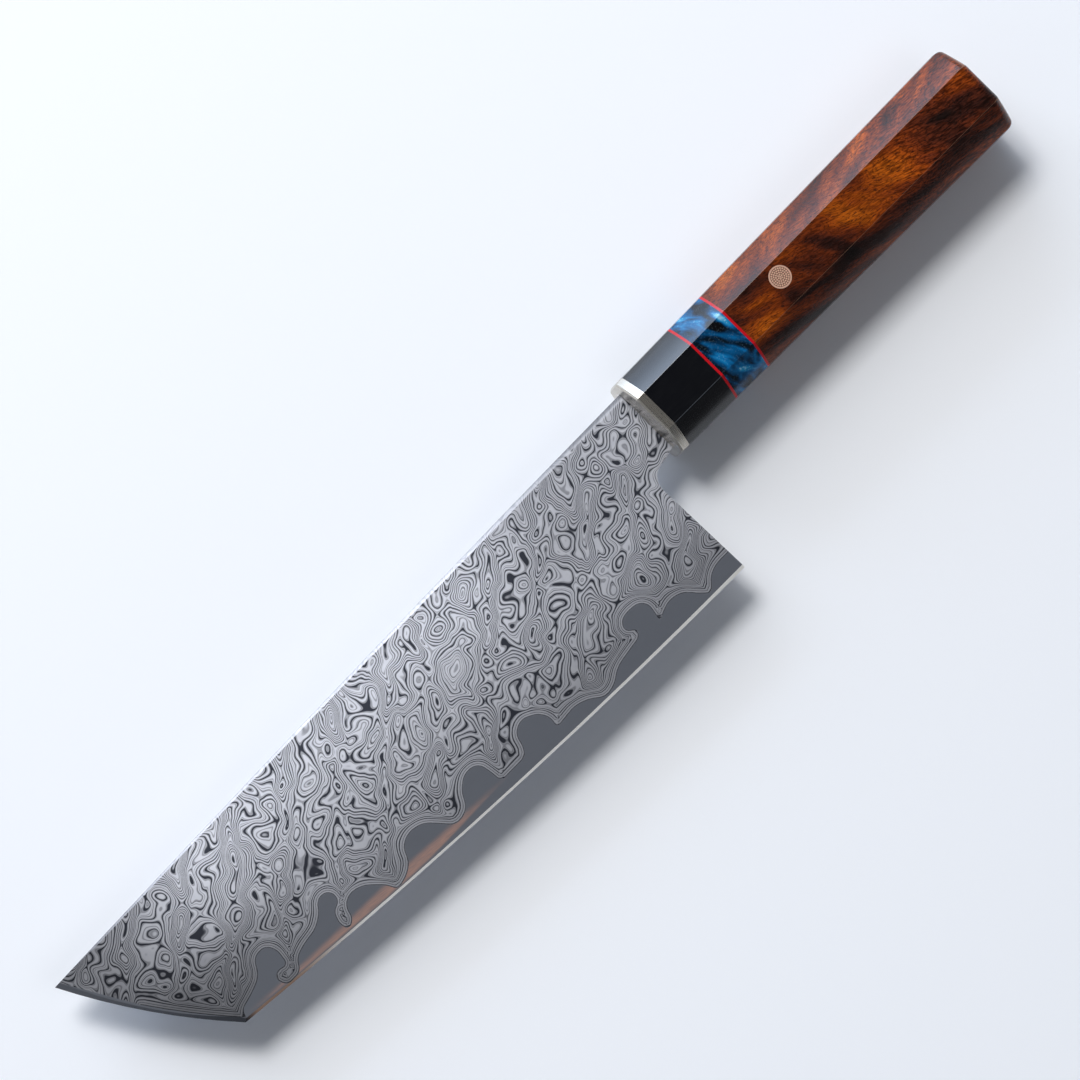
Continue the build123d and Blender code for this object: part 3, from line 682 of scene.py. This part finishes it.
pore = addNode(tree, "MapRange", smooth | {"From Min": 0.59, "From Max": 0.66}, {"Value": pores})
poreShare = addNode(tree, "Math", {"operation": "MULTIPLY", 1: 0.72}, {0: pore})
tone = addNode(tree, "Mix", {"data_type": "RGBA", 7: hexColour(grip["pore"])}, {0: poreShare, 6: lit}, 2)
# Painted highlight: a paler tone along the ridges between the flats and the facets.
normal = addNode(tree, "NewGeometry", output="Normal")
facing = addNode(tree, "SeparateXYZ", links={0: normal}, output="Y")
lean = addNode(tree, "Math", {"operation": "ABSOLUTE"}, {0: facing})
offFlat = addNode(tree, "MapRange", smooth | {"From Min": 0.12, "From Max": 0.25, "To Max": 0.4}, {"Value": lean})
offFacet = addNode(tree, "MapRange", smooth | {
    "From Min": 0.42, "From Max": 0.56, "To Min": 1, "To Max": 0,
}, {"Value": lean})
paintedRidgeHighlight = addNode(tree, "Math", {"operation": "MULTIPLY"}, {0: offFlat, 1: offFacet})
tone = addNode(tree, "Mix", {"data_type": "RGBA", 7: hexColour(grip["paintedRidgeHighlight"])}, {0: paintedRidgeHighlight, 6: tone}, 2)
tree.links.new(tone, shader.inputs["Base Color"])
relief = addNode(tree, "Bump", {"Strength": 0.25, "Distance": 0.02 * mm, "invert": True}, {"Height": pore})
tree.links.new(relief, shader.inputs["Normal"])
rough = addNode(tree, "MapRange", smooth | {
    "From Min": 0.3, "From Max": 0.7, "To Min": 0.17, "To Max": 0.24,
}, {"Value": flecks})
tree.links.new(rough, shader.inputs["Roughness"])
dress(material, "grip")

# Mosaic pin: copper tube and paler rods in dark resin, cut flush and sanded with the wood, so
# that fine scratches dull the metal.
pin = {"tube": "F4C8B0", "rods": "F2CCB4", "resin": "7A4A36", "scratches": (2.0, 0.08, 0.08)}
for materialName, nodeName, colour, settings in (
    ("sanded_copper", "mosaic_pin_tube", pin["tube"], {"Metallic": 1.0, "Roughness": 0.5}),
    ("sanded_pale_copper", "mosaic_pin_rods", pin["rods"], {"Metallic": 1.0, "Roughness": 0.5}),
    ("dark_pin_resin", "mosaic_pin_filler", pin["resin"], {"Roughness": 0.35}),
):
    material, tree, shader = startMaterial(materialName, settings)
    place = addNode(tree, "TexCoord", output="Object")
    scratchPlace = addNode(tree, "Mapping", {
        "vector_type": "TEXTURE", "Scale": millimetres(*pin["scratches"]), "Rotation": turned(0, 0, 35),
    }, {"Vector": place})
    scratches = addNode(tree, "TexNoise", {"Scale": 1.0, "Detail": 2.0}, {"Vector": scratchPlace})
    light = addNode(tree, "MapRange", {
        "From Min": 0.3, "From Max": 0.7, "To Min": 0.82, "To Max": 1,
    }, {"Value": scratches})
    tone = addNode(tree, "VectorMath", {"operation": "SCALE", 0: hexColour(colour)[:3]}, {"Scale": light})
    tree.links.new(tone, shader.inputs["Base Color"])
    dress(material, nodeName)

# Hidden inside the handle: a bare beech dowel with short ray flecks, and clear amber glue.
dowel = {"colour": "C8A878", "ray": "A9855A", "raySize": (2.2, 0.35, 0.35)}
material, tree, shader = startMaterial("bare_beech", {"Roughness": 0.7})
place = addNode(tree, "TexCoord", output="Object")
rayPlace = addNode(tree, "Mapping", {
    "vector_type": "TEXTURE", "Scale": millimetres(*dowel["raySize"]),
}, {"Vector": place})
rays = addNode(tree, "TexNoise", {"Scale": 1.0, "Detail": 2.0}, {"Vector": rayPlace})
fleck = addNode(tree, "MapRange", smooth | {"From Min": 0.5, "From Max": 0.65}, {"Value": rays})
tone = addNode(tree, "Mix", {
    "data_type": "RGBA", 6: hexColour(dowel["colour"]), 7: hexColour(dowel["ray"]),
}, {0: fleck}, 2)
tree.links.new(tone, shader.inputs["Base Color"])
dress(material, "handle_dowel")
glue = {"colour": "B89A58", "cloud": "A08040", "cloudSize": 3.0}
material, tree, shader = startMaterial("amber_epoxy", {"Roughness": 0.2, "IOR": 1.55})
place = addNode(tree, "TexCoord", output="Object")
cloud = addNode(tree, "TexNoise", {"Scale": 1 / (glue["cloudSize"] * mm), "Detail": 1.0}, {"Vector": place})
tone = addNode(tree, "Mix", {
    "data_type": "RGBA", 6: hexColour(glue["colour"]), 7: hexColour(glue["cloud"]),
}, {0: cloud}, 2)
tree.links.new(tone, shader.inputs["Base Color"])
dress(material, "tang_epoxy")

print("all finishes set")
